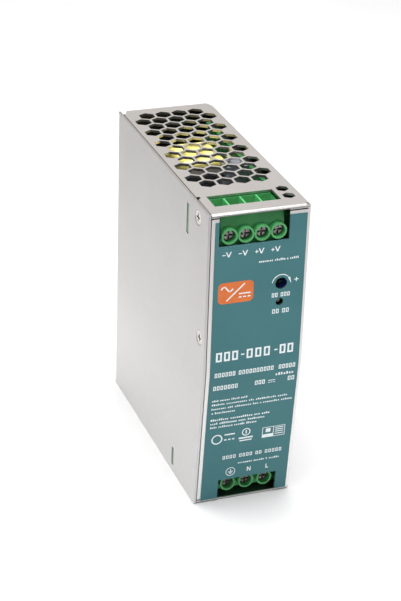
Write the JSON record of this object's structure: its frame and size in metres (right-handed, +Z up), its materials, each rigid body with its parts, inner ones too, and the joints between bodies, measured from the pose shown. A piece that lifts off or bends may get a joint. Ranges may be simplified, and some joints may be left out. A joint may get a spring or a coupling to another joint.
{
  "type": "din rail power supply",
  "caption": "Slim metal-cased power supply that clips on a 35 mm rail, with a bent labelled front and screw terminals top and bottom.",
  "frame": {"origin": "middle of the footprint, on the bottom plate", "axes": "+Z up along the rail latch's travel, +Y towards the rail, +X towards the closed side; the labelled front faces -Y"},
  "size_m": [0.04, 0.1174, 0.1252],
  "materials": {
    "case_sheet": "satin zinc-plated sheet",
    "label": "satin printed film",
    "insulating_film": "clear-grained film",
    "bracket_zinc": "satin die casting",
    "latch_plastic": "fine moulded grain",
    "spring_wire": "bright drawn wire",
    "fastener": "bright nickel plate",
    "clamp_steel": "zinc plate",
    "contact_brass": "tinned brass",
    "terminal_plastic": "satin moulded nylon",
    "circuit_board": "solder resist",
    "trimmer_plastic": "satin",
    "rotor_plastic": "satin",
    "led_lens": "tinted clear",
    "ferrite": "fired matte",
    "winding_tape": "polyester tape",
    "choke_winding": "enamelled copper",
    "capacitor_sleeve": "shrunk sleeve",
    "capacitor_box": "moulded box",
    "heatsink_aluminium": "extruded",
    "component_epoxy": "moulded epoxy",
    "fuse_ceramic": "unglazed"
  },
  "bodies": {
    "case": {"board_screw_1": "fastener", "board_screw_2": "fastener", "board_screw_3": "fastener", "bracket_screw_1": "fastener", "bracket_screw_2": "fastener", "bridge_rectifier": "component_epoxy", "bulk_capacitor_1": "capacitor_sleeve", "bulk_capacitor_2": "capacitor_sleeve", "chassis": "case_sheet", "cover_screw_1": "fastener", "cover_screw_2": "fastener", "cover_screw_3": "fastener", "cover_screw_4": "fastener", "front_label": "label", "fuse": "fuse_ceramic", "indicator_board": "circuit_board", "inrush_thermistor": "component_epoxy", "insulation_sheet": "insulating_film", "latch_spring": "spring_wire", "line_choke": "choke_winding", "main_board": "circuit_board", "mains_capacitor": "capacitor_box", "mains_contact_1": "contact_brass", "mains_contact_2": "contact_brass", "mains_contact_3": "contact_brass", "mains_terminal_block": "terminal_plastic", "mains_terminal_board": "circuit_board", "output_capacitor_1": "capacitor_sleeve", "output_capacitor_2": "capacitor_sleeve", "output_contact_negative": "contact_brass", "output_contact_positive": "contact_brass", "output_heatsink": "heatsink_aluminium", "output_inductor": "choke_winding", "output_rectifier": "component_epoxy", "output_terminal_block": "terminal_plastic", "output_terminal_board": "circuit_board", "primary_heatsink": "heatsink_aluminium", "rail_bracket": "bracket_zinc", "side_cover": "case_sheet", "status_led": "led_lens", "switching_transistor": "component_epoxy", "transformer_core": "ferrite", "transformer_winding": "winding_tape", "trimmer_body": "trimmer_plastic"},
    "latch": {"rail_latch": "latch_plastic"},
    "trimmer_knob": {"trimmer_rotor": "rotor_plastic"},
    "output_terminal_screw_1": {"output_screw_1": "fastener"},
    "output_wire_clamp_1": {"output_clamp_1": "clamp_steel"},
    "output_terminal_screw_2": {"output_screw_2": "fastener"},
    "output_wire_clamp_2": {"output_clamp_2": "clamp_steel"},
    "output_terminal_screw_3": {"output_screw_3": "fastener"},
    "output_wire_clamp_3": {"output_clamp_3": "clamp_steel"},
    "output_terminal_screw_4": {"output_screw_4": "fastener"},
    "output_wire_clamp_4": {"output_clamp_4": "clamp_steel"},
    "mains_terminal_screw_1": {"mains_screw_1": "fastener"},
    "mains_wire_clamp_1": {"mains_clamp_1": "clamp_steel"},
    "mains_terminal_screw_2": {"mains_screw_2": "fastener"},
    "mains_wire_clamp_2": {"mains_clamp_2": "clamp_steel"},
    "mains_terminal_screw_3": {"mains_screw_3": "fastener"},
    "mains_wire_clamp_3": {"mains_clamp_3": "clamp_steel"}
  },
  "joints": [
    {"name": "latch_slide", "type": "slide", "parent": "case", "child": "latch", "axis": [0, 0, -1], "range_m": [0, 0.004], "stiffness_N_per_m": 1200, "springref_m": -0.004, "deforming": ["latch_spring"]},
    {"name": "trimmer_turn", "type": "hinge", "parent": "case", "child": "trimmer_knob", "pos_m": [0.0094, -0.05465, 0.0947], "axis": [0, 1, 0], "range_deg": [-130, 130]},
    {"name": "output_screw_turn_1", "type": "hinge", "parent": "case", "child": "output_terminal_screw_1", "pos_m": [-0.01155, -0.05345, 0.116], "axis": [0, 1, 0], "range_deg": [0, 1296.1]},
    {"name": "output_clamp_slide_1", "type": "slide", "parent": "case", "child": "output_wire_clamp_1", "axis": [0, -1, 0], "range_m": [0, 0.0018]},
    {"name": "output_screw_turn_2", "type": "hinge", "parent": "case", "child": "output_terminal_screw_2", "pos_m": [-0.0052, -0.05345, 0.116], "axis": [0, 1, 0], "range_deg": [0, 1296.1]},
    {"name": "output_clamp_slide_2", "type": "slide", "parent": "case", "child": "output_wire_clamp_2", "axis": [0, -1, 0], "range_m": [0, 0.0018]},
    {"name": "output_screw_turn_3", "type": "hinge", "parent": "case", "child": "output_terminal_screw_3", "pos_m": [0.00115, -0.05345, 0.116], "axis": [0, 1, 0], "range_deg": [0, 1296.1]},
    {"name": "output_clamp_slide_3", "type": "slide", "parent": "case", "child": "output_wire_clamp_3", "axis": [0, -1, 0], "range_m": [0, 0.0018]},
    {"name": "output_screw_turn_4", "type": "hinge", "parent": "case", "child": "output_terminal_screw_4", "pos_m": [0.0075, -0.05345, 0.116], "axis": [0, 1, 0], "range_deg": [0, 1296.1]},
    {"name": "output_clamp_slide_4", "type": "slide", "parent": "case", "child": "output_wire_clamp_4", "axis": [0, -1, 0], "range_m": [0, 0.0018]},
    {"name": "mains_screw_turn_1", "type": "hinge", "parent": "case", "child": "mains_terminal_screw_1", "pos_m": [-0.00565, -0.04685, 0.0063], "axis": [0, 1, 0], "range_deg": [0, 1296.1]},
    {"name": "mains_clamp_slide_1", "type": "slide", "parent": "case", "child": "mains_wire_clamp_1", "axis": [0, -1, 0], "range_m": [0, 0.0018]},
    {"name": "mains_screw_turn_2", "type": "hinge", "parent": "case", "child": "mains_terminal_screw_2", "pos_m": [0.00197, -0.04685, 0.0063], "axis": [0, 1, 0], "range_deg": [0, 1296.1]},
    {"name": "mains_clamp_slide_2", "type": "slide", "parent": "case", "child": "mains_wire_clamp_2", "axis": [0, -1, 0], "range_m": [0, 0.0018]},
    {"name": "mains_screw_turn_3", "type": "hinge", "parent": "case", "child": "mains_terminal_screw_3", "pos_m": [0.00959, -0.04685, 0.0063], "axis": [0, 1, 0], "range_deg": [0, 1296.1]},
    {"name": "mains_clamp_slide_3", "type": "slide", "parent": "case", "child": "mains_wire_clamp_3", "axis": [0, -1, 0], "range_m": [0, 0.0018]}
  ],
  "couplings": [
    {"joint": "output_screw_turn_1", "follows": "output_clamp_slide_1", "rad_per_m": 12566},
    {"joint": "output_screw_turn_2", "follows": "output_clamp_slide_2", "rad_per_m": 12566},
    {"joint": "output_screw_turn_3", "follows": "output_clamp_slide_3", "rad_per_m": 12566},
    {"joint": "output_screw_turn_4", "follows": "output_clamp_slide_4", "rad_per_m": 12566},
    {"joint": "mains_screw_turn_1", "follows": "mains_clamp_slide_1", "rad_per_m": 12566},
    {"joint": "mains_screw_turn_2", "follows": "mains_clamp_slide_2", "rad_per_m": 12566},
    {"joint": "mains_screw_turn_3", "follows": "mains_clamp_slide_3", "rad_per_m": 12566}
  ]
}
